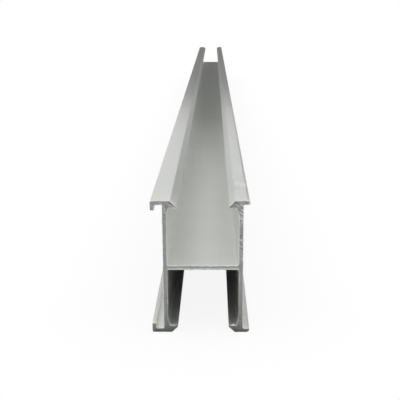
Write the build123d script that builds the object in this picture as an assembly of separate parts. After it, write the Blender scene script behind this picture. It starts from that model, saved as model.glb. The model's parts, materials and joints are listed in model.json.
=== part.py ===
"""Solar mounting rail: a straight aluminium extrusion, sawn square at both ends.

The section is an H. Two legs stand either side of a cross web and make one slotted channel above it
and the same channel, mirrored, below it. Lips narrow each slot, and a flange runs outwards along
each corner: hooked at the rim on the left, short and round-nosed on the right.

Millimetres, with the length along Y and the section in X and Z. The origin is under the middle of
the length, halfway across, at the level of the lower flanges' faces.
"""
import os

from build123d import *

# Overall sizes
LENGTH = 1200.0
HEIGHT = 60.0
CHANNEL_WIDTH = 31.1
WALL = 1.8

# Flanges outside the legs
HOOK_OVERHANG = 5.2
HOOK_DEPTH = 4.2
PLAIN_OVERHANG = 2.9

# Lips over the slot: flat land, sloped lead-in, then a blunt tip with a bead that catches slot nuts
LIP_REACH = 4.35
LIP_LAND = 1.65
LIP_DEPTH = 3.1
LIP_TIP = 0.65
BEAD_DROP = 0.35
BEAD_WIDTH = 0.7
BEAD_RAMP = 0.3

# Haunch that thickens the leg under the lip
HAUNCH_REACH = 0.9
HAUNCH_DROP = 3.6

# Rounding of the corners
HOOK_RADIUS = 0.8
HOOK_TIP_RADIUS = 0.4
NOSE_RADIUS = 1.4
NOSE_WALL_SHARE = 0.8
EDGE_RADIUS = 0.2
ROOT_RADIUS = 0.5
HAUNCH_RADIUS = 0.4
LEFT_WEB_RADIUS = 0.5
RIGHT_WEB_RADIUS = 1.2

# Places across the section that follow from the sizes above
SECTION_WIDTH = HOOK_OVERHANG + WALL + CHANNEL_WIDTH + WALL + PLAIN_OVERHANG
LEFT_CHANNEL_FACE = -SECTION_WIDTH / 2 + HOOK_OVERHANG + WALL
RIGHT_CHANNEL_FACE = LEFT_CHANNEL_FACE + CHANNEL_WIDTH
WEB_TOP_DEPTH = (HEIGHT - WALL) / 2


def hooked_rim():
    """Corners of the flange rim that turns back into a hook: reach outside the leg, depth, radius."""
    hook_face = HOOK_OVERHANG - WALL
    return [
        (hook_face, WALL, ROOT_RADIUS),
        (hook_face, HOOK_DEPTH, HOOK_TIP_RADIUS),
        (HOOK_OVERHANG, HOOK_DEPTH, HOOK_TIP_RADIUS),
        (HOOK_OVERHANG, 0, HOOK_RADIUS),
    ]


def plain_rim():
    """Corners of the short flange rim with its rounded nose: reach outside the leg, depth, radius."""
    nose_radius = min(NOSE_RADIUS, NOSE_WALL_SHARE * WALL)
    return [
        (PLAIN_OVERHANG, WALL, EDGE_RADIUS),
        (PLAIN_OVERHANG, 0, nose_radius),
    ]


def lip():
    """Corners of the lip and the haunch below it: reach into the channel, depth, radius."""
    bead_depth = LIP_DEPTH + BEAD_DROP
    bead_root = LIP_REACH - BEAD_WIDTH
    return [
        (LIP_LAND, 0, EDGE_RADIUS),
        (LIP_REACH, LIP_DEPTH - LIP_TIP, EDGE_RADIUS),
        (LIP_REACH, bead_depth, EDGE_RADIUS),
        (bead_root, bead_depth, 0),
        (bead_root - BEAD_RAMP, LIP_DEPTH, 0),
        (HAUNCH_REACH, LIP_DEPTH, HAUNCH_RADIUS),
        (0, LIP_DEPTH + HAUNCH_DROP, HAUNCH_RADIUS),
    ]


def upper_leg(rim, web_radius, channel_face, inward):
    """Corners (x, z, radius) of one leg above the web, from under its flange, over its head, to the web.

    The channel face is the x of the leg's inner side, and inward is +1 or -1, towards the channel.
    """
    flange = [(-WALL, WALL, ROOT_RADIUS)]
    flange += [(-WALL - reach, depth, radius) for reach, depth, radius in rim]
    web = [(0, WEB_TOP_DEPTH, web_radius)]
    corners = flange + lip() + web
    return [(channel_face + inward * reach, HEIGHT - depth, radius) for reach, depth, radius in corners]


def section_corners():
    """Corners of the whole section: the upper half, then its mirror image below the web."""
    left = upper_leg(hooked_rim(), LEFT_WEB_RADIUS, LEFT_CHANNEL_FACE, 1)
    right = upper_leg(plain_rim(), RIGHT_WEB_RADIUS, RIGHT_CHANNEL_FACE, -1)
    upper = left + right[::-1]
    lower = [(x, HEIGHT - z, radius) for x, z, radius in upper[::-1]]
    return upper + lower


def make_rail():
    """The section, filled and carried half the length to each side of the origin."""
    corners = section_corners()
    points = [(x, z) for x, z, radius in corners]
    radii = [radius for x, z, radius in corners]
    with BuildPart() as rail:
        with BuildSketch(Plane.XZ):
            with BuildLine():
                FilletPolyline(*points, radius=radii, close=True)
            make_face()
        extrude(amount=LENGTH / 2, both=True)
    return rail.part


os.makedirs("parts", exist_ok=True)
export_step(make_rail(), "parts/rail.step")
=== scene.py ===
"""Solar mounting rail: the finished look of a sawn aluminium extrusion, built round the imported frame.

Everything is in metres, in the frame's own axes: the rail lies along Y and stands on its lower flanges.
The section's outline is read from the frame, so the looks follow the model when its sizes change.
"""
import json
import math

import bpy
import numpy as np
from bpy.props import FloatProperty, FloatVectorProperty, IntProperty, PointerProperty
from mathutils import Matrix, Vector


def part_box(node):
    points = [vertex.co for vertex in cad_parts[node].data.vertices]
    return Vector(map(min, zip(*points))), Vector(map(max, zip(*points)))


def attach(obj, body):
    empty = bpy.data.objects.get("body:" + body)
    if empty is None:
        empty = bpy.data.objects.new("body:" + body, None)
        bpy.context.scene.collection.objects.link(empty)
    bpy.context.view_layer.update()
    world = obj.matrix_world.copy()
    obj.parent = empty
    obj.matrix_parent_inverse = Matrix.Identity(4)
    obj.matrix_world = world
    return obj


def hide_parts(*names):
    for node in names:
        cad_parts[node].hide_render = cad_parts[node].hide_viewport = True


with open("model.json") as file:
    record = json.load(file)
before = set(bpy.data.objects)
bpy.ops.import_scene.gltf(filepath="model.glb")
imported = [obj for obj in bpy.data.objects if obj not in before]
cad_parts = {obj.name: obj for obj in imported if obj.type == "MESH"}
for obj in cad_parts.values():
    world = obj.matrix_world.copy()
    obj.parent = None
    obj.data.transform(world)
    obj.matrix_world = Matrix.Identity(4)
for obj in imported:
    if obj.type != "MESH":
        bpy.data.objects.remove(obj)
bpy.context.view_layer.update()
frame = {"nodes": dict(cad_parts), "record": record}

bl_info = {
    "name": "Solar mounting rail",
    "version": (1, 0, 0),
    "blender": (4, 5, 0),
    "location": "3D View > Sidebar > Rail",
    "description": "Builds a sawn aluminium mounting rail with its finish, and a plain studio round it",
    "category": "Object",
}

NODE = "rail"
BODY = "root"
LOW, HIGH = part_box(NODE)
NEAR_END = Vector((0.0, LOW.y, LOW.z))
WEB_MIDDLE = (LOW.z + HIGH.z) / 2
MOUNTS = {mount["name"]: mount["pos_m"] for mount in frame["record"]["mounts"]}
SLOT_MIDDLE = MOUNTS["upper_slot"][0]

# Outline: welding distance, guards in a straight run and round an even point, and limits for corners and bays
WELD = 1e-7
STRAIGHT_GUARDS = 6
ROOM_GUARDS = 3
LEAST_CORNER_COSINE = 0.6
LEAST_BAYS = 2
SHARP_ANGLE = math.radians(30)

# Sawn rims: random seeds, spacings in burr spacings, least share in a patch, and room in burr heights
NEAR_SEED = 11
FAR_SEED = 47
LEAST_KNOTS = 4
WANDER_SPACINGS = 2
PATCH_SPACINGS = 9
PATCH_LEAST = 0.35
SLIVER_POWER = 3
ROOM_HEIGHTS = 4

# Rubbed marks on the plain flange's top: middle across and from the near end, half sizes, and strength
CLAMP_BAND = ((0.0187, 0.0293), (0.0034, 0.0059), 0.5)
SMALL_BAND = ((0.0183, 0.0620), (0.0020, 0.0055), 0.4)
BRIGHT_TICK = ((0.0167, 0.0290), (0.0004, 0.0062), 1.0)
DULL_TICK = ((0.0172, 0.0280), (0.0004, 0.0062), 0.7)
CLAMP_SHADOW = ((0.0160, 0.0232), (0.0024, 0.0044), 0.55)

# Noise in cells per metre, and the broad die lines' share of the fine ones' scale
SPECK_NOISE = 650.0
WOBBLE_NOISE = 350.0
GRAIN_NOISE = 1100.0
SMEAR_NOISE = 330.0
PATCH_NOISE = 110.0
FLECK_NOISE = 1500.0
BROAD_LINES = 0.13

# Stretches of a noise's range that are spread over the whole of a mask or a tone
TONE_RANGE = (0.3, 0.7)
SPECK_RANGE = (0.5, 0.6)
GRAIN_RANGE = (0.36, 0.64)
SMEAR_RANGE = (0.35, 0.65)
FLECK_RANGE = (0.6, 0.65)

# Middle of a noise or a tone, which go from 0 to 1
MIDDLE = 0.5

# Saw marks: wobble of the arcs in turns, drawing out of the grain, fade of the tears, and shares of tone
WOBBLE_TURNS = 1.6
DRAWN_OUT = 0.3
PATCH_REACH = 0.06
TEAR_FADE = 0.03
TEAR_LEAST = 0.3
GRAIN_TONE = 0.25
SMEAR_TONE = 0.15
ARC_TONE = 0.1
ROUGH_HEIGHT = 2.0

# Painted highlight along the lower part of the web's sawn end: fades about the web's and the slot's middle,
# and strength
WEB_HIGHLIGHT_HEAD = (0.0002, -0.0004)
WEB_HIGHLIGHT_FOOT = (-0.0013, -0.0010)
WEB_HIGHLIGHT_SIDE = (0.0158, 0.0150)
WEB_HIGHLIGHT_TONE = (0.2, 0.8)
WEB_HIGHLIGHT_STRENGTH = (0.3, 0.9)

# Bump strengths
DIE_LINE_BUMP = 0.35
SAW_MARK_BUMP = 0.5

# Floor and world: the floor's sides and drop, its shade in reflections, and the heights of the white skirt
FLOOR_SIDES = 96
FLOOR_DROP = 0.00005
SHADE_SAMPLES = 16
SHADE_POWER = 3.0
SKIRT = (0.02, 0.12)

# Softboxes: name, setting of the power, place from the middle of the near end at floor level, and side
SOFTBOXES = (
    ("top_softbox", "top_power", (-0.05, 0.12, 0.75), 1.2),
    ("ahead_softbox", "ahead_power", (-0.06, 0.29, 0.27), 0.32),
    ("left_softbox", "left_power", (-0.5, 0.1, 0.75), 0.8),
    ("right_softbox", "right_power", (0.5, 0.1, 0.75), 0.8),
)
LIT_SPOT = (0.0, 0.1, 0.045)

# Camera: the picture's side in pixels, the sensor in millimetres, and the view's limits
PICTURE_SIDE = 400
SENSOR_WIDTH = 36.0
CLIP_START = 0.01
CLIP_FLOORS = 4


class RailShape(bpy.types.PropertyGroup):
    """Sizes of the visible mesh and of the edges that the saw left."""

    outline_step: FloatProperty(
        name="Outline step", description="Longest distance between points along the section's outline",
        default=0.0004, min=0.0002, unit="LENGTH")
    guard: FloatProperty(
        name="Guard", description="Gap between a corner and a straight run's last point, to keep flats flat",
        default=0.00006, min=0.00001, unit="LENGTH")
    bay: FloatProperty(
        name="Bay", description="Distance between the cross loops along the rail",
        default=0.1, min=0.02, unit="LENGTH")
    rim_radius: FloatProperty(
        name="Rim radius", description="Rounding of a sawn end's upper edges",
        default=0.00016, min=0.00002, unit="LENGTH")
    rim_side_share: FloatProperty(
        name="Rim at the sides", description="Share of that rounding on edges that don't face up",
        default=0.8, min=0.1, max=1.0, subtype="FACTOR")
    rim_wander: FloatProperty(
        name="Rim wander", description="Share by which the rim's rounding changes along the edge",
        default=0.45, min=0.0, max=0.9, subtype="FACTOR")
    rim_steps: IntProperty(
        name="Rim steps", description="Facets across the rim's quarter round",
        default=5, min=2, max=12)
    burr_height: FloatProperty(
        name="Burr height", description="Tallest sliver of metal that the saw pushed over an inner edge",
        default=0.0009, min=0.0, unit="LENGTH")
    burr_crest: FloatProperty(
        name="Burr crest", description="How far behind the sawn face the burr is at its tallest",
        default=0.0005, min=0.0001, unit="LENGTH")
    burr_width: FloatProperty(
        name="Burr width", description="Half width of the burr along the rail",
        default=0.0003, min=0.0001, unit="LENGTH")
    burr_rings: IntProperty(
        name="Burr rings", description="Cross loops over the burr", default=8, min=3, max=20)
    burr_spacing: FloatProperty(
        name="Burr spacing", description="Distance between the burr's slivers along the edge",
        default=0.0009, min=0.0003, unit="LENGTH")
    burr_side_share: FloatProperty(
        name="Burr at the sides", description="Share of the burr on edges that don't face up",
        default=0.45, min=0.0, max=1.0, subtype="FACTOR")


class RailFinish(bpy.types.PropertyGroup):
    """Colours and grain of the extruded faces and of the sawn ends."""

    mill_colour: FloatVectorProperty(
        name="Extruded colour", description="Bare extruded aluminium where it is cleanest",
        default=(0.946, 0.96, 0.93), min=0.0, max=1.0, subtype="COLOR")
    mill_shade: FloatVectorProperty(
        name="Extruded shade", description="Bare extruded aluminium in its duller streaks",
        default=(0.884, 0.897, 0.868), min=0.0, max=1.0, subtype="COLOR")
    mill_roughness: FloatProperty(
        name="Extruded roughness", description="Mean roughness of the extruded faces",
        default=0.5, min=0.0, max=1.0, subtype="FACTOR")
    mill_swing: FloatProperty(
        name="Extruded swing", description="How far that roughness goes up and down with the tone",
        default=0.05, min=0.0, max=0.5, subtype="FACTOR")
    cloud_size: FloatProperty(
        name="Cloud size", description="Size of the soft clouds of tone on the extruded faces",
        default=0.03, min=0.001, unit="LENGTH")
    die_line_width: FloatProperty(
        name="Die line width", description="Width of the fine lines that the die drew along the rail",
        default=0.0005, min=0.0001, unit="LENGTH")
    die_line_run: FloatProperty(
        name="Die line run", description="Length over which a die line changes",
        default=0.4, min=0.01, unit="LENGTH")
    die_line_depth: FloatProperty(
        name="Die line depth", description="Depth of the die lines in the shading",
        default=0.00002, min=0.0, unit="LENGTH")
    rub_colour: FloatVectorProperty(
        name="Rubbed colour", description="Extruded aluminium where a clamp rubbed it bright",
        default=(0.985, 0.985, 0.98), min=0.0, max=1.0, subtype="COLOR")
    rub_shade: FloatVectorProperty(
        name="Rubbed shade", description="Extruded aluminium where a clamp left it dull",
        default=(0.79, 0.8, 0.78), min=0.0, max=1.0, subtype="COLOR")
    rub_matt: FloatProperty(
        name="Rubbed mattness", description="How matt a rubbed mark is at its strongest",
        default=0.4, min=0.0, max=1.0, subtype="FACTOR")
    speck_reach: FloatProperty(
        name="Speck reach", description="How far the bright specks run in from a sawn edge",
        default=0.0028, min=0.0, unit="LENGTH")
    scuff_reach: FloatProperty(
        name="Scuff reach", description="How far the handled, paler metal runs in from a sawn end",
        default=0.02, min=0.001, unit="LENGTH")
    scuff_matt: FloatProperty(
        name="Scuff mattness", description="How matt the handled metal is beside a sawn end",
        default=0.15, min=0.0, max=1.0, subtype="FACTOR")
    matt_metallic: FloatProperty(
        name="Matt metallic", description="What is left of the metallic shine where the metal is fully matt",
        default=0.4, min=0.0, max=1.0, subtype="FACTOR")
    matt_roughness: FloatProperty(
        name="Matt roughness", description="What the roughness gains where the metal is fully matt",
        default=0.3, min=0.0, max=0.5, subtype="FACTOR")
    # The sawn colours lie well below bare aluminium's: duller sawn metal, and painted shade on the end faces.
    sawn_colour: FloatVectorProperty(
        name="Sawn colour", description="Freshly sawn aluminium on the tooth marks",
        default=(0.54, 0.55, 0.545), min=0.0, max=1.0, subtype="COLOR")
    sawn_shade: FloatVectorProperty(
        name="Sawn shade", description="Sawn aluminium in the torn and smeared patches",
        default=(0.17, 0.17, 0.166), min=0.0, max=1.0, subtype="COLOR")
    # Also the colour of the painted highlight along the web's lower sawn edge.
    fleck_and_highlight_colour: FloatVectorProperty(
        name="Fleck colour", description="Bright flecks where a tooth smeared the metal",
        default=(0.88, 0.885, 0.88), min=0.0, max=1.0, subtype="COLOR")
    sawn_roughness: FloatProperty(
        name="Sawn roughness", description="Mean roughness of the sawn ends",
        default=0.5, min=0.0, max=1.0, subtype="FACTOR")
    sawn_swing: FloatProperty(
        name="Sawn swing", description="How far that roughness goes up and down with the tone",
        default=0.1, min=0.0, max=0.5, subtype="FACTOR")
    saw_pitch: FloatProperty(
        name="Saw mark pitch", description="Distance between the arcs that the saw's teeth left",
        default=0.0012, min=0.0002, unit="LENGTH")
    saw_depth: FloatProperty(
        name="Saw mark depth", description="Depth of the saw's marks in the shading",
        default=0.00006, min=0.0, unit="LENGTH")
    saw_centre: FloatVectorProperty(
        name="Saw centre", description="Axis of the saw blade as it crossed the section",
        default=(0.075, 0.0, 0.17), subtype="XYZ", unit="LENGTH")
    tear_reach: FloatProperty(
        name="Tear reach", description="Distance from the blade's axis within which the metal tore most",
        default=0.13, min=0.0, unit="LENGTH")


class StudioSettings(bpy.types.PropertyGroup):
    """Floor, light and camera."""

    floor_reach: FloatProperty(
        name="Floor reach", description="Radius of the round floor",
        default=30.0, min=1.0, unit="LENGTH")
    floor_colour: FloatVectorProperty(
        name="Floor colour", description="Plain pale floor",
        default=(0.9, 0.9, 0.9), min=0.0, max=1.0, subtype="COLOR")
    floor_shadow: FloatProperty(
        name="Floor shadow", description="How much the rail's soft shadow darkens the floor in view",
        default=0.1, min=0.0, max=1.0, subtype="FACTOR")
    shadow_reach: FloatProperty(
        name="Shadow reach", description="How far the soft shadow spreads",
        default=0.07, min=0.001, unit="LENGTH")
    floor_mirror: FloatProperty(
        name="Mirrored floor", description="Level of the open floor in the metal's reflections",
        default=0.9, min=0.0, max=1.0, subtype="FACTOR")
    sky: FloatProperty(
        name="Light all round", description="Level of the surrounding light",
        default=0.41, min=0.0, max=1.0, subtype="FACTOR")
    screen: FloatProperty(
        name="Dim screen", description="Level of the dim screen beyond the far end",
        default=0.07, min=0.0, max=1.0, subtype="FACTOR")
    screen_rise: FloatProperty(
        name="Screen rise", description="Height of the dim screen's middle above the horizon",
        default=math.radians(10), subtype="ANGLE", unit="ROTATION")
    screen_inner: FloatProperty(
        name="Screen inside", description="Half angle within which the screen is at its dimmest",
        default=math.radians(35), subtype="ANGLE", unit="ROTATION")
    screen_outer: FloatProperty(
        name="Screen outside", description="Half angle beyond which the screen has faded out",
        default=math.radians(65), subtype="ANGLE", unit="ROTATION")
    top_power: FloatProperty(
        name="Top power", description="Watts of the wide softbox over the near end",
        default=0.6, min=0.0, unit="POWER")
    ahead_power: FloatProperty(
        name="Ahead power", description="Watts of the small softbox further along the rail",
        default=0.19, min=0.0, unit="POWER")
    left_power: FloatProperty(
        name="Left power", description="Watts of the softbox on the left of the near end",
        default=2.2, min=0.0, unit="POWER")
    right_power: FloatProperty(
        name="Right power", description="Watts of the softbox on the right of the near end",
        default=2.2, min=0.0, unit="POWER")
    eye: FloatVectorProperty(
        name="Camera place", description="From the middle of the near end, at floor level",
        default=(0.00586, -0.3035, 0.1398), subtype="XYZ", unit="LENGTH")
    pitch: FloatProperty(
        name="Pitch", description="How far the camera looks down",
        default=math.radians(14.66), subtype="ANGLE", unit="ROTATION")
    yaw: FloatProperty(
        name="Yaw", description="How far the camera turns to the left",
        default=math.radians(1.10), subtype="ANGLE", unit="ROTATION")
    roll: FloatProperty(
        name="Roll", description="How far the camera leans",
        default=math.radians(-0.37), subtype="ANGLE", unit="ROTATION")
    focal: FloatProperty(
        name="Focal length", description="Camera's focal length in pixels of the picture",
        default=743.4, min=50.0, subtype="PIXEL")


def section_outline(node):
    """Points (x, z) of the section, in order, anticlockwise as seen from the near end.

    The near end's triangles have all their corners at the lowest y. An edge of theirs that runs the other
    way in no second triangle is on the outline. The ring of those edges is cut open at one point, and each
    point's count of steps to that cut, found by doubling, puts the points in order.
    """
    mesh = node.data
    places = np.empty(len(mesh.vertices) * 3)
    mesh.vertices.foreach_get("co", places)
    mesh.calc_loop_triangles()
    triangles = np.empty(len(mesh.loop_triangles) * 3, np.int32)
    mesh.loop_triangles.foreach_get("vertices", triangles)
    grid = np.round(places.reshape(-1, 3) / WELD).astype(np.int64)
    points, welded = np.unique(grid, axis=0, return_inverse=True)
    triangles = welded.reshape(-1)[triangles].reshape(-1, 3)
    on_end = points[:, 1] == points[:, 1].min()
    end = triangles[on_end[triangles].all(axis=1)]
    edges = np.concatenate([end[:, [0, 1]], end[:, [1, 2]], end[:, [2, 0]]])
    count = len(points)
    outer = ~np.isin(edges[:, 0] * count + edges[:, 1], edges[:, 1] * count + edges[:, 0])
    starts, ends = edges[outer].T
    last = starts[ends == starts[0]]
    follow = np.arange(count)
    follow[starts] = ends
    follow[last] = last
    steps = np.zeros(count, np.int64)
    steps[starts] = 1
    steps[last] = 0
    for _ in range(math.ceil(math.log2(len(starts))) + 1):
        steps = steps + steps[follow]
        follow = follow[follow]
    ordered = starts[np.argsort(-steps[starts])]
    return points[ordered][:, [0, 2]] * WELD


def dense_outline(corners, step, guard):
    """The outline with extra points on its straight runs: one a guard's width from each end, then every step.

    Returns the points, each one's distance along the outline, and the outline's whole length.
    """
    ring = np.vstack([corners, corners[:1]])
    runs = np.hypot(*np.diff(ring, axis=0).T)
    marks = np.concatenate([[0.0], np.cumsum(runs)])
    straight = runs > STRAIGHT_GUARDS * guard
    guards = np.concatenate([marks[:-1][straight] + guard, marks[1:][straight] - guard])
    even = np.arange(0.0, marks[-1], step)
    run = np.clip(np.searchsorted(marks, even, "right") - 1, 0, len(runs) - 1)
    room = np.minimum(even - marks[run], marks[run + 1] - even)
    even = even[straight[run] & (room > ROOM_GUARDS * guard)]
    along = np.sort(np.concatenate([marks[:-1], guards, even]))
    points = np.stack([np.interp(along, marks, ring[:, axis]) for axis in (0, 1)], axis=1)
    return points, along, marks[-1]


def outward(points):
    """Directions out of the metal at each point: a right angle to the mean of the two edges that meet there.

    Each is lengthened at a corner, so that a move along it keeps both edges parallel to where they were.
    """
    ahead = np.roll(points, -1, axis=0) - points
    ahead /= np.linalg.norm(ahead, axis=1, keepdims=True)
    mean = ahead + np.roll(ahead, 1, axis=0)
    mean /= np.linalg.norm(mean, axis=1, keepdims=True)
    stretch = 1.0 / np.clip((mean * ahead).sum(axis=1), LEAST_CORNER_COSINE, 1.0)
    return np.stack([mean[:, 1], -mean[:, 0]], axis=1) * stretch[:, None]


def ragged(along, perimeter, spacing, seed):
    """Random numbers from 0 to 1 along a closed outline: one for each spacing, joined by smooth steps.

    The smooth step between two of them is 3 t^2 - 2 t^3 of the share t of the way.
    """
    knots = max(LEAST_KNOTS, round(perimeter / spacing))
    values = np.random.default_rng(seed).random(knots)
    place = along / perimeter * knots
    index = np.floor(place).astype(int)
    blend = place - index
    blend = blend * blend * (3 - 2 * blend)
    return values[index % knots] * (1 - blend) + values[(index + 1) % knots] * blend


def inner_share(points, margin):
    """1 for points inside the rail's box, falling to 0 on its faces, so that no burr leaves the box."""
    low = np.array([LOW.x, LOW.z])
    high = np.array([HIGH.x, HIGH.z])
    room = np.minimum(points - low, high - points).min(axis=1)
    return np.clip(room / margin, 0.0, 1.0)


def sawn_rim(points, normals, along, perimeter, shape, seed):
    """Rings of one sawn end, from the end's face back to the extruded faces, as offsets and depths.

    The offset is outwards from the outline and the depth is along the rail. A quarter round of radius r gives
    offset r (sin a - 1) and depth r (1 - cos a). The burr adds its height times a bell curve over the depth,
    exp(-((depth - crest) / width) ^ 2), so that its slopes lean.
    """
    angles = np.linspace(0.0, math.pi / 2, shape.rim_steps + 1)[:, None]
    wander = 2 * ragged(along, perimeter, WANDER_SPACINGS * shape.burr_spacing, seed) - 1
    upward = np.clip(normals[:, 1], 0.0, 1.0)
    rim_share = shape.rim_side_share + (1 - shape.rim_side_share) * upward
    radius = shape.rim_radius * (1 + shape.rim_wander * wander) * rim_share
    offset = radius * (np.sin(angles) - 1)
    depth = radius * (1 - np.cos(angles))
    run = 2 * shape.burr_crest + shape.burr_width
    behind = np.linspace(0.0, run, shape.burr_rings + 1)[1:, None]
    depth = np.vstack([depth, depth[-1] + behind])
    offset = np.vstack([offset, np.zeros((len(behind), len(along)))])
    sliver = ragged(along, perimeter, shape.burr_spacing, seed + 1) ** SLIVER_POWER
    patch = ragged(along, perimeter, PATCH_SPACINGS * shape.burr_spacing, seed + 2)
    sliver *= PATCH_LEAST + (1 - PATCH_LEAST) * patch
    burr_share = shape.burr_side_share + (1 - shape.burr_side_share) * upward
    height = shape.burr_height * sliver * burr_share * inner_share(points, ROOM_HEIGHTS * shape.burr_height)
    bell = np.exp(-(((depth - shape.burr_crest) / shape.burr_width) ** 2))
    bell[0] = 0.0
    bell[-1] = 0.0
    return offset + height * bell, depth


def rail_surface(shape):
    """Vertices, quads and end rings of the whole rail: its outline carried along Y between two sawn rims.

    A point is the outline's point at distance s moved outwards by the ring's offset at s, at the ring's y.
    Quads join each ring to the next, and the first and last rings are each closed by a flat face.
    """
    corners = section_outline(frame["nodes"][NODE])
    points, along, perimeter = dense_outline(corners, shape.outline_step, shape.guard)
    normals = outward(points)
    near_offset, near_depth = sawn_rim(points, normals, along, perimeter, shape, NEAR_SEED)
    far_offset, far_depth = sawn_rim(points, normals, along, perimeter, shape, FAR_SEED)
    bays = max(LEAST_BAYS, round((HIGH.y - LOW.y) / shape.bay))
    stations = np.linspace(LOW.y, HIGH.y, bays + 1)[1:-1, None]
    plain = np.ones((1, len(along)))
    offsets = np.vstack([near_offset, 0 * stations * plain, far_offset[::-1]])
    levels = np.vstack([LOW.y + near_depth, stations * plain, (HIGH.y - far_depth)[::-1]])
    flat = points[None] + normals[None] * offsets[:, :, None]
    vertices = np.stack([flat[:, :, 0], levels, flat[:, :, 1]], axis=2).reshape(-1, 3)
    rings, width = offsets.shape
    index = np.arange(rings * width).reshape(rings, width)
    beside = np.roll(index, -1, axis=1)
    quads = np.stack([index[:-1], index[1:], beside[1:], beside[:-1]], axis=2).reshape(-1, 4)
    ends = [index[0], index[-1][::-1]]
    return vertices, quads, ends


def floor_surface(studio):
    """Vertices and face of a round floor just under the rail: a circle of radius R, (R cos a, R sin a)."""
    angles = np.arange(FLOOR_SIDES) * (2 * math.pi / FLOOR_SIDES)
    circle = np.stack([np.cos(angles), np.sin(angles), 0 * angles], axis=1) * studio.floor_reach
    under = np.array([0.0, 0.0, LOW.z - FLOOR_DROP])
    return circle + under, [list(range(FLOOR_SIDES))]


def new_piece(name, vertices, faces):
    """A mesh object at the origin from an array of vertices and lists of faces."""
    mesh = bpy.data.meshes.new(name)
    mesh.from_pydata(vertices.tolist(), [], faces)
    piece = bpy.data.objects.new(name, mesh)
    bpy.context.scene.collection.objects.link(piece)
    return piece


def add_node(tree, kind, inputs=None, **settings):
    """One new node with its settings; each input is a plain value or another node's output to link."""
    made = tree.nodes.new(kind)
    for name, value in settings.items():
        setattr(made, name, value)
    for name, value in (inputs or {}).items():
        if isinstance(value, bpy.types.NodeSocket):
            tree.links.new(value, made.inputs[name])
        else:
            made.inputs[name].default_value = value
    return made


def math_node(tree, operation, first, second=0.0):
    """The output of a Math node."""
    return add_node(tree, "ShaderNodeMath", {0: first, 1: second}, operation=operation).outputs[0]


def product(tree, first, second):
    """One value times another."""
    return math_node(tree, "MULTIPLY", first, second)


def total(tree, first, second):
    """One value plus another."""
    return math_node(tree, "ADD", first, second)


def vector_node(tree, operation, first, second=(0.0, 0.0, 0.0)):
    """The output of a Vector Math node: a value for a length or a dot product, or else a vector."""
    made = add_node(tree, "ShaderNodeVectorMath", {0: first, 1: second}, operation=operation)
    return made.outputs["Value" if operation in ("LENGTH", "DOT_PRODUCT") else "Vector"]


def spread(tree, value, low, high, to_low=0.0, to_high=1.0):
    """A value carried from one range to another and held inside it."""
    sockets = {"Value": value, "From Min": low, "From Max": high, "To Min": to_low, "To Max": to_high}
    return add_node(tree, "ShaderNodeMapRange", sockets).outputs["Result"]


def noise(tree, vector, scale, detail=2.0):
    """Noise from 0 to 1 at a vector."""
    sockets = {"Vector": vector, "Scale": scale, "Detail": detail}
    return add_node(tree, "ShaderNodeTexNoise", sockets).outputs[0]


def separate(tree, vector):
    """The X, Y and Z of a vector, by name."""
    return add_node(tree, "ShaderNodeSeparateXYZ", {0: vector}).outputs


def blend_colours(tree, share, first, second):
    """The colour between two colours, each a plain one or another node's output."""
    mix = add_node(tree, "ShaderNodeMix", data_type="RGBA")
    tree.links.new(share, mix.inputs["Factor"])
    sockets = [socket for socket in mix.inputs if socket.type == "RGBA"]
    for socket, colour in zip(sockets, (first, second)):
        if isinstance(colour, bpy.types.NodeSocket):
            tree.links.new(colour, socket)
        else:
            socket.default_value = (*colour, 1.0)
    return next(socket for socket in mix.outputs if socket.type == "RGBA")


def new_group(name, vectors, values, outputs):
    """A shader node group with named vector inputs, value inputs and value outputs."""
    tree = bpy.data.node_groups.new(name, "ShaderNodeTree")
    for title in vectors:
        tree.interface.new_socket(title, in_out="INPUT", socket_type="NodeSocketVector")
    for title in values:
        tree.interface.new_socket(title, in_out="INPUT", socket_type="NodeSocketFloat")
    for title in outputs:
        tree.interface.new_socket(title, in_out="OUTPUT", socket_type="NodeSocketFloat")
    given = tree.nodes.new("NodeGroupInput").outputs
    wanted = tree.nodes.new("NodeGroupOutput").inputs
    return tree, given, wanted


def use_group(tree, group, inputs):
    """The outputs of a shader node group placed in a material."""
    return add_node(tree, "ShaderNodeGroup", inputs, node_tree=group).outputs


def drawn_lines_group():
    """Lines that the die drew along the rail: noise stretched along Y, fine for height and broad for tone."""
    tree, given, wanted = new_group("drawn_lines", ["Vector"], ["Width", "Run"], ["Height", "Tone"])
    across = math_node(tree, "DIVIDE", 1.0, given["Width"])
    lengthwise = math_node(tree, "DIVIDE", 1.0, given["Run"])
    scale = add_node(tree, "ShaderNodeCombineXYZ", {"X": across, "Y": lengthwise, "Z": across}).outputs[0]
    place = vector_node(tree, "MULTIPLY", given["Vector"], scale)
    tree.links.new(noise(tree, place, 1.0), wanted["Height"])
    tree.links.new(noise(tree, place, BROAD_LINES, detail=3.0), wanted["Tone"])
    return tree


def soft_drift_group():
    """Slow changes of tone over a surface, as from handling and uneven oxide: noise of one size."""
    tree, given, wanted = new_group("soft_drift", ["Vector"], ["Size"], ["Tone"])
    scale = math_node(tree, "DIVIDE", 1.0, given["Size"])
    tree.links.new(noise(tree, given["Vector"], scale, detail=3.0), wanted["Tone"])
    return tree


def rubbed_oval_group():
    """A soft oval mark: 1 inside half the oval's sizes, falling to 0 at its edge."""
    tree, given, wanted = new_group("rubbed_oval", ["Vector", "Middle", "Half Size"], [], ["Mask"])
    arm = vector_node(tree, "SUBTRACT", given["Vector"], given["Middle"])
    reach = vector_node(tree, "LENGTH", vector_node(tree, "DIVIDE", arm, given["Half Size"]))
    tree.links.new(spread(tree, reach, 1.0, 0.5), wanted["Mask"])
    return tree


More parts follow.
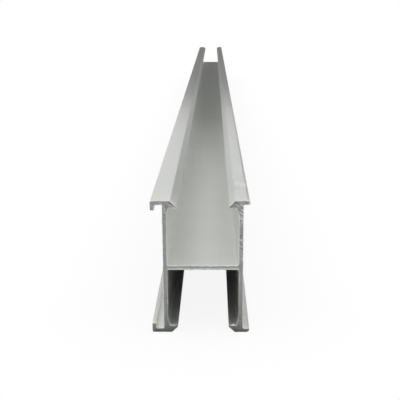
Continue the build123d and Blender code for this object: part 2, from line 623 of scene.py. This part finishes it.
def cut_edge_group():
    """Wear beside a sawn end, by the distance in from it: pale scuffs that fade, and bright specks."""
    tree, given, wanted = new_group(
        "cut_edge", ["Vector"], ["End", "Scuff Reach", "Speck Reach"], ["Scuff", "Speck"])
    along = separate(tree, given["Vector"])["Y"]
    inward = math_node(tree, "SUBTRACT", given["End"], math_node(tree, "ABSOLUTE", along))
    scuff = spread(tree, math_node(tree, "DIVIDE", inward, given["Scuff Reach"]), 1.0, 0.0)
    edge = spread(tree, math_node(tree, "DIVIDE", inward, given["Speck Reach"]), 1.0, 0.5)
    grains = spread(tree, noise(tree, given["Vector"], SPECK_NOISE, detail=1.0), *SPECK_RANGE)
    tree.links.new(scuff, wanted["Scuff"])
    tree.links.new(product(tree, edge, grains), wanted["Speck"])
    return tree


def saw_marks_group():
    """Marks of a saw, in rings about the blade's axis: arcs of its teeth, drawn-out grain, and tears.

    The arcs are a sine of the distance from the axis. The grain is noise of that distance and of the way
    round the axis, which is shortened so that the grain runs along the arcs. The grain tears most, and has
    bright flecks, where the blade broke out of the metal, nearest to the axis.
    """
    tree, given, wanted = new_group(
        "saw_marks", ["Vector", "Centre"], ["Pitch", "Tear Reach"], ["Height", "Tone", "Fleck"])
    place = given["Vector"]
    arm = vector_node(tree, "SUBTRACT", place, given["Centre"])
    reach = vector_node(tree, "LENGTH", vector_node(tree, "MULTIPLY", arm, (1.0, 0.0, 1.0)))
    sides = separate(tree, arm)
    way_round = product(tree, math_node(tree, "ARCTAN2", sides["Z"], sides["X"]), reach)
    drawn_out = product(tree, way_round, DRAWN_OUT)
    rings = add_node(tree, "ShaderNodeCombineXYZ", {"X": reach, "Y": drawn_out}).outputs[0]
    turns = math_node(tree, "DIVIDE", reach, given["Pitch"])
    wobble = product(tree, noise(tree, place, WOBBLE_NOISE), WOBBLE_TURNS)
    wave = math_node(tree, "SINE", product(tree, total(tree, turns, wobble), 2 * math.pi))
    arcs = product(tree, wave, ARC_TONE)
    beyond = math_node(tree, "SUBTRACT", reach, given["Tear Reach"])
    patchy = product(tree, total(tree, noise(tree, place, PATCH_NOISE), -MIDDLE), PATCH_REACH)
    torn = spread(tree, total(tree, beyond, patchy), TEAR_FADE, 0.0, TEAR_LEAST, 1.0)
    grain = spread(tree, noise(tree, rings, GRAIN_NOISE, detail=3.0), *GRAIN_RANGE, -1.0, 1.0)
    smear = spread(tree, noise(tree, place, SMEAR_NOISE), *SMEAR_RANGE, -1.0, 1.0)
    rough = total(tree, product(tree, grain, GRAIN_TONE), product(tree, smear, SMEAR_TONE))
    rough = product(tree, rough, torn)
    flecks = spread(tree, noise(tree, rings, FLECK_NOISE, detail=1.0), *FLECK_RANGE)
    tree.links.new(total(tree, total(tree, rough, arcs), MIDDLE), wanted["Tone"])
    tree.links.new(total(tree, product(tree, rough, ROUGH_HEIGHT), arcs), wanted["Height"])
    tree.links.new(product(tree, flecks, spread(tree, torn, TEAR_LEAST, 1.0)), wanted["Fleck"])
    return tree


def new_material(name):
    """A material with an empty node tree and its output node."""
    material = bpy.data.materials.new(name)
    material.use_nodes = True
    tree = material.node_tree
    tree.nodes.clear()
    return material, tree, tree.nodes.new("ShaderNodeOutputMaterial")


def object_place(tree):
    """The place of a point on the piece, in Object coordinates."""
    return tree.nodes.new("ShaderNodeTexCoord").outputs["Object"]


def rubbed_marks(tree, oval, place, marks):
    """The strongest of some rubbed marks' masks, each times its strength, on the plain flange's top."""
    strongest = 0.0
    for (across, along), (half_across, half_along), strength in marks:
        middle = (across, LOW.y + along, HIGH.z)
        half = (half_across, half_along, half_across)
        mask = use_group(tree, oval, {"Vector": place, "Middle": middle, "Half Size": half})["Mask"]
        strongest = math_node(tree, "MAXIMUM", strongest, product(tree, mask, strength))
    return strongest


def mill_material(finish):
    """Bare extruded aluminium: satin metal with drawn lines, a slow drift of tone, and wear at its ends."""
    material, tree, output = new_material("mill_aluminium")
    place = object_place(tree)
    sizes = {"Vector": place, "Width": finish.die_line_width, "Run": finish.die_line_run}
    lines = use_group(tree, drawn_lines_group(), sizes)
    drift = use_group(tree, soft_drift_group(), {"Vector": place, "Size": finish.cloud_size})
    reaches = {"End": HIGH.y, "Scuff Reach": finish.scuff_reach, "Speck Reach": finish.speck_reach}
    edge = use_group(tree, cut_edge_group(), {"Vector": place, **reaches})
    oval = rubbed_oval_group()
    streak = spread(tree, lines["Tone"], *TONE_RANGE)
    cloud = spread(tree, drift["Tone"], *TONE_RANGE)
    tone = math_node(tree, "DIVIDE", total(tree, streak, cloud), 2.0)
    clean = blend_colours(tree, tone, finish.mill_shade, finish.mill_colour)
    rubbed = rubbed_marks(tree, oval, place, (CLAMP_BAND, SMALL_BAND, BRIGHT_TICK))
    dulled = rubbed_marks(tree, oval, place, (CLAMP_SHADOW, DULL_TICK))
    polished = blend_colours(tree, rubbed, clean, finish.rub_colour)
    colour = blend_colours(tree, dulled, polished, finish.rub_shade)
    dull = finish.mill_roughness + finish.mill_swing
    shiny = finish.mill_roughness - finish.mill_swing
    satin = spread(tree, tone, 0.0, 1.0, dull, shiny)
    scuffed = total(tree, product(tree, edge["Scuff"], finish.scuff_matt), edge["Speck"])
    matt = math_node(tree, "MAXIMUM", scuffed, product(tree, rubbed, finish.rub_matt))
    metallic = spread(tree, matt, 0.0, 1.0, 1.0, finish.matt_metallic)
    roughness = total(tree, satin, spread(tree, matt, 0.0, 1.0, 0.0, finish.matt_roughness))
    relief = {"Strength": DIE_LINE_BUMP, "Distance": finish.die_line_depth, "Height": lines["Height"]}
    bump = add_node(tree, "ShaderNodeBump", relief).outputs[0]
    sockets = {"Base Color": colour, "Roughness": roughness, "Metallic": metallic, "Normal": bump}
    shader = add_node(tree, "ShaderNodeBsdfPrincipled", sockets)
    tree.links.new(shader.outputs[0], output.inputs["Surface"])
    return material


def web_painted_highlight(tree, place, tone):
    """A mask of the painted highlight along the lower part of the web's sawn end, broken by the tone."""
    sides = separate(tree, place)
    height = math_node(tree, "SUBTRACT", sides["Z"], WEB_MIDDLE)
    below = spread(tree, height, *WEB_HIGHLIGHT_HEAD)
    above = spread(tree, height, *WEB_HIGHLIGHT_FOOT)
    off_middle = math_node(tree, "ABSOLUTE", math_node(tree, "SUBTRACT", sides["X"], SLOT_MIDDLE))
    between_legs = spread(tree, off_middle, *WEB_HIGHLIGHT_SIDE)
    highlight = product(tree, product(tree, below, above), between_legs)
    return product(tree, highlight, spread(tree, tone, *WEB_HIGHLIGHT_TONE, *WEB_HIGHLIGHT_STRENGTH))


def sawn_material(finish):
    """Sawn aluminium: duller metal with painted shade in its colours, the arcs of the saw's teeth, torn
    patches, bright flecks and a painted highlight on the web.
    """
    material, tree, output = new_material("sawn_aluminium")
    place = object_place(tree)
    blade = {"Centre": finish.saw_centre, "Pitch": finish.saw_pitch, "Tear Reach": finish.tear_reach}
    marks = use_group(tree, saw_marks_group(), {"Vector": place, **blade})
    # Sawn colour by the saw marks' tone, darkened overall as painted shade on the end faces.
    torn = blend_colours(tree, marks["Tone"], finish.sawn_shade, finish.sawn_colour)
    # Bright flecks of smeared metal, and a painted highlight along the web's lower edge.
    bright = math_node(tree, "MAXIMUM", marks["Fleck"], web_painted_highlight(tree, place, marks["Tone"]))
    colour = blend_colours(tree, bright, torn, finish.fleck_and_highlight_colour)
    dull = finish.sawn_roughness + finish.sawn_swing
    shiny = finish.sawn_roughness - finish.sawn_swing
    roughness = spread(tree, marks["Tone"], 0.0, 1.0, dull, shiny)
    relief = {"Strength": SAW_MARK_BUMP, "Distance": finish.saw_depth, "Height": marks["Height"]}
    bump = add_node(tree, "ShaderNodeBump", relief).outputs[0]
    sockets = {"Base Color": colour, "Roughness": roughness, "Metallic": 1.0, "Normal": bump}
    shader = add_node(tree, "ShaderNodeBsdfPrincipled", sockets)
    tree.links.new(shader.outputs[0], output.inputs["Surface"])
    return material


def floor_material(studio):
    """Plain pale floor: white in view and in reflections, with a soft shadow, and matt to other light.

    The shadow is the share of open sky over a point. Reflections show a power of it, dark under the rail.
    """
    material, tree, output = new_material("pale_floor")
    path = tree.nodes.new("ShaderNodeLightPath").outputs
    seen = math_node(tree, "MAXIMUM", path["Is Camera Ray"], path["Is Glossy Ray"])
    seen = math_node(tree, "MAXIMUM", seen, path["Is Transmission Ray"])
    reach = {"Distance": studio.shadow_reach}
    open_sky = add_node(tree, "ShaderNodeAmbientOcclusion", reach, samples=SHADE_SAMPLES).outputs["AO"]
    in_view = spread(tree, open_sky, 0.0, 1.0, 1.0 - studio.floor_shadow, 1.0)
    mirrored = product(tree, math_node(tree, "POWER", open_sky, SHADE_POWER), studio.floor_mirror)
    level = add_node(tree, "ShaderNodeMix", {"Factor": path["Is Camera Ray"], "A": mirrored, "B": in_view})
    white = add_node(tree, "ShaderNodeEmission", {"Strength": level.outputs["Result"]}).outputs[0]
    matt = add_node(tree, "ShaderNodeBsdfDiffuse", {"Color": (*studio.floor_colour, 1.0)}).outputs[0]
    mix = add_node(tree, "ShaderNodeMixShader", {0: seen, 1: matt, 2: white})
    tree.links.new(mix.outputs[0], output.inputs["Surface"])
    return material


def surrounding_light(studio):
    """A world that is pale all round and white at the floor's edge, with a dim screen beyond the far end.

    The screen's shade goes by the cosine of the angle from the screen's middle.
    """
    world = bpy.data.worlds.new("studio_light")
    world.use_nodes = True
    tree = world.node_tree
    tree.nodes.clear()
    direction = tree.nodes.new("ShaderNodeTexCoord").outputs["Generated"]
    middle = (0.0, math.cos(studio.screen_rise), math.sin(studio.screen_rise))
    facing = vector_node(tree, "DOT_PRODUCT", direction, middle)
    edges = (math.cos(studio.screen_outer), math.cos(studio.screen_inner))
    around = spread(tree, facing, *edges, studio.sky, studio.screen)
    skirt = spread(tree, separate(tree, direction)["Z"], *SKIRT, 1.0, 0.0)
    level = add_node(tree, "ShaderNodeMix", {"Factor": skirt, "A": around, "B": 1.0}).outputs["Result"]
    background = add_node(tree, "ShaderNodeBackground", {"Strength": level, "Color": (1.0, 1.0, 1.0, 1.0)})
    output = tree.nodes.new("ShaderNodeOutputWorld")
    tree.links.new(background.outputs[0], output.inputs["Surface"])
    bpy.context.scene.world = world


def softbox(name, place, side, power):
    """A square area lamp at a place from the near end, turned towards the spot that it lights."""
    lamp = bpy.data.lights.new(name, "AREA")
    lamp.shape = "SQUARE"
    lamp.size = side
    lamp.energy = power
    holder = bpy.data.objects.new(name, lamp)
    holder.location = NEAR_END + Vector(place)
    holder.rotation_euler = (Vector(LIT_SPOT) - Vector(place)).to_track_quat("-Z", "Y").to_euler()
    bpy.context.scene.collection.objects.link(holder)


def viewing_camera(studio):
    """The camera at its place before the near end, turned by its yaw, pitch and roll."""
    camera = bpy.data.cameras.new("viewing_camera")
    camera.sensor_width = SENSOR_WIDTH
    camera.lens = studio.focal / PICTURE_SIDE * SENSOR_WIDTH
    camera.clip_start = CLIP_START
    camera.clip_end = CLIP_FLOORS * studio.floor_reach
    holder = bpy.data.objects.new("viewing_camera", camera)
    turn = Matrix.Rotation(studio.yaw, 4, "Z")
    tilt = Matrix.Rotation(math.pi / 2 - studio.pitch, 4, "X")
    lean = Matrix.Rotation(studio.roll, 4, "Z")
    holder.matrix_world = Matrix.Translation(NEAR_END + Vector(studio.eye)) @ turn @ tilt @ lean
    bpy.context.scene.collection.objects.link(holder)
    bpy.context.scene.camera = holder


class RAIL_OT_extrusion(bpy.types.Operator):
    """Build the sawn extrusion with its finish, in place of the plain model"""

    bl_idname = "rail.build_extrusion"
    bl_label = "Build the extrusion"

    def execute(self, context):
        finish = context.scene.rail_finish
        vertices, quads, ends = rail_surface(context.scene.rail_shape)
        piece = new_piece("rail_extrusion", vertices, quads.tolist() + [end.tolist() for end in ends])
        piece.data.materials.append(mill_material(finish))
        piece.data.materials.append(sawn_material(finish))
        sawn = np.arange(len(piece.data.polygons)) >= len(quads)
        piece.data.polygons.foreach_set("material_index", sawn.astype(np.int32))
        piece.data.polygons.foreach_set("use_smooth", ~sawn)
        piece.data.set_sharp_from_angle(angle=SHARP_ANGLE)
        piece.data.update()
        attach(piece, BODY)
        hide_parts(NODE)
        return {"FINISHED"}


class RAIL_OT_stage(bpy.types.Operator):
    """Lay the pale floor, hang the soft lights and set up the camera"""

    bl_idname = "rail.build_stage"
    bl_label = "Build the stage"

    def execute(self, context):
        studio = context.scene.rail_studio
        floor = new_piece("floor", *floor_surface(studio))
        floor.data.materials.append(floor_material(studio))
        surrounding_light(studio)
        for name, power, place, side in SOFTBOXES:
            softbox(name, place, side, getattr(studio, power))
        viewing_camera(studio)
        context.scene.view_settings.view_transform = "Standard"
        return {"FINISHED"}


class RAIL_PT_panel(bpy.types.Panel):
    """Lists the steps and their sizes in the sidebar"""

    bl_idname = "RAIL_PT_panel"
    bl_label = "Mounting rail"
    bl_space_type = "VIEW_3D"
    bl_region_type = "UI"
    bl_category = "Rail"

    def draw(self, context):
        for step in (RAIL_OT_extrusion, RAIL_OT_stage):
            self.layout.operator(step.bl_idname)
        for group in (context.scene.rail_shape, context.scene.rail_finish, context.scene.rail_studio):
            box = self.layout.box()
            for name in type(group).__annotations__:
                box.prop(group, name)


CLASSES = (RailShape, RailFinish, StudioSettings, RAIL_OT_extrusion, RAIL_OT_stage, RAIL_PT_panel)


def register():
    """Add the classes and the scene's settings."""
    for kind in CLASSES:
        bpy.utils.register_class(kind)
    bpy.types.Scene.rail_shape = PointerProperty(type=RailShape)
    bpy.types.Scene.rail_finish = PointerProperty(type=RailFinish)
    bpy.types.Scene.rail_studio = PointerProperty(type=StudioSettings)


def unregister():
    """Take the settings and the classes away again."""
    del bpy.types.Scene.rail_shape
    del bpy.types.Scene.rail_finish
    del bpy.types.Scene.rail_studio
    for kind in reversed(CLASSES):
        bpy.utils.unregister_class(kind)


def main():
    """Build everything in order."""
    register()
    bpy.ops.rail.build_extrusion()
    bpy.ops.rail.build_stage()


if __name__ == "__main__":
    main()
